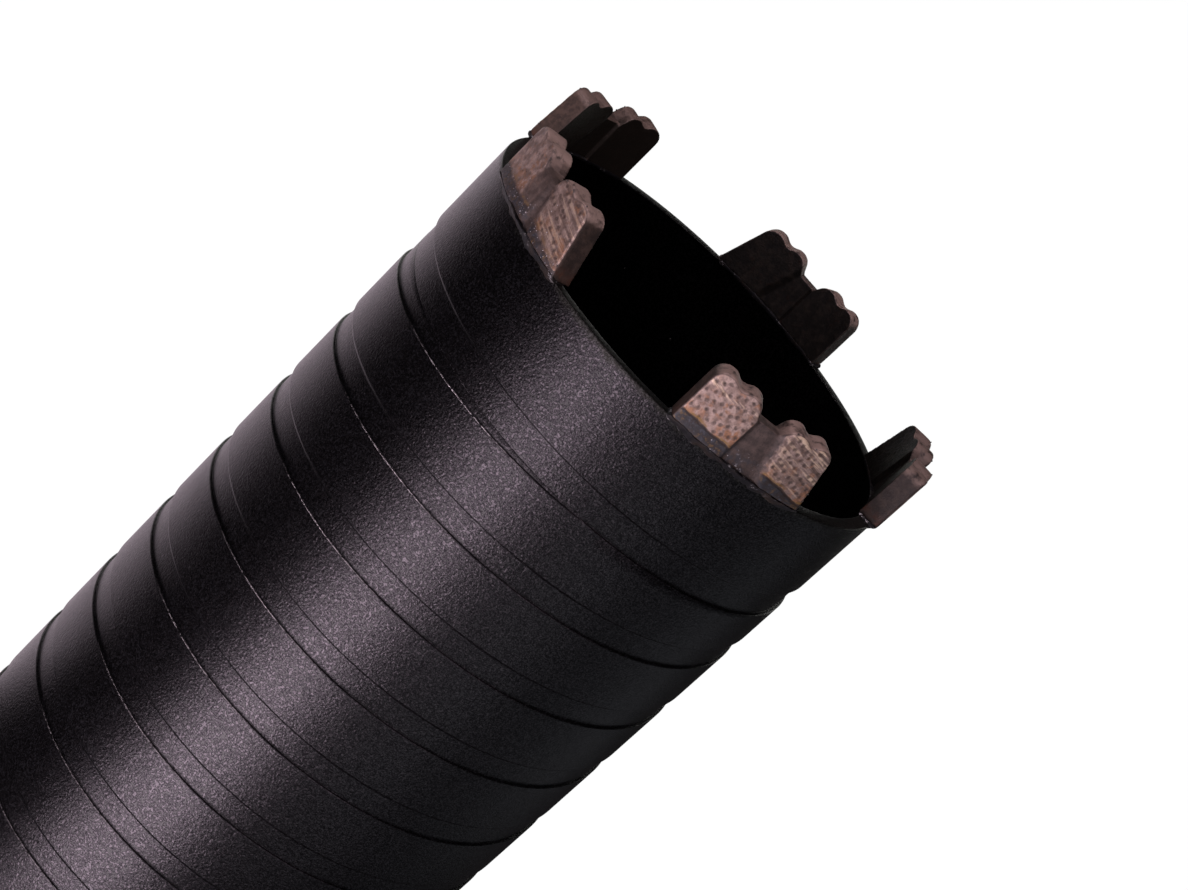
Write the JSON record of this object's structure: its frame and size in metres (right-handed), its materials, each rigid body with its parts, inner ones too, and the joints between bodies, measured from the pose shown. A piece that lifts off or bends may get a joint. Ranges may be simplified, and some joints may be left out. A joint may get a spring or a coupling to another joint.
{
  "type": "diamond core bit",
  "caption": "Cylindrical diamond core bit: helically recessed steel barrel with soldered toothed crown segments and a female threaded hub.",
  "frame": {"origin": "centre of the hub's end face, at the mouth of its thread", "axes": "+Z along the bit's axis, from the hub to the crown"},
  "size_m": [0.0752, 0.0758, 0.1799],
  "materials": {
    "black_coat": "satin black powder coat with a fine orange-peel grain",
    "segment_matrix": "sintered metal matrix with exposed diamond grit",
    "silver_solder": "heat-stained silver solder"
  },
  "bodies": {
    "root": {"barrel": "black_coat", "back_plate": "black_coat", "plate_weld": "black_coat", "hub": "black_coat", "hub_weld": "black_coat", "segment_1": "segment_matrix", "segment_2": "segment_matrix", "segment_3": "segment_matrix", "segment_4": "segment_matrix", "segment_5": "segment_matrix", "solder_1": "silver_solder", "solder_2": "silver_solder", "solder_3": "silver_solder", "solder_4": "silver_solder", "solder_5": "silver_solder"}
  },
  "joints": []
}
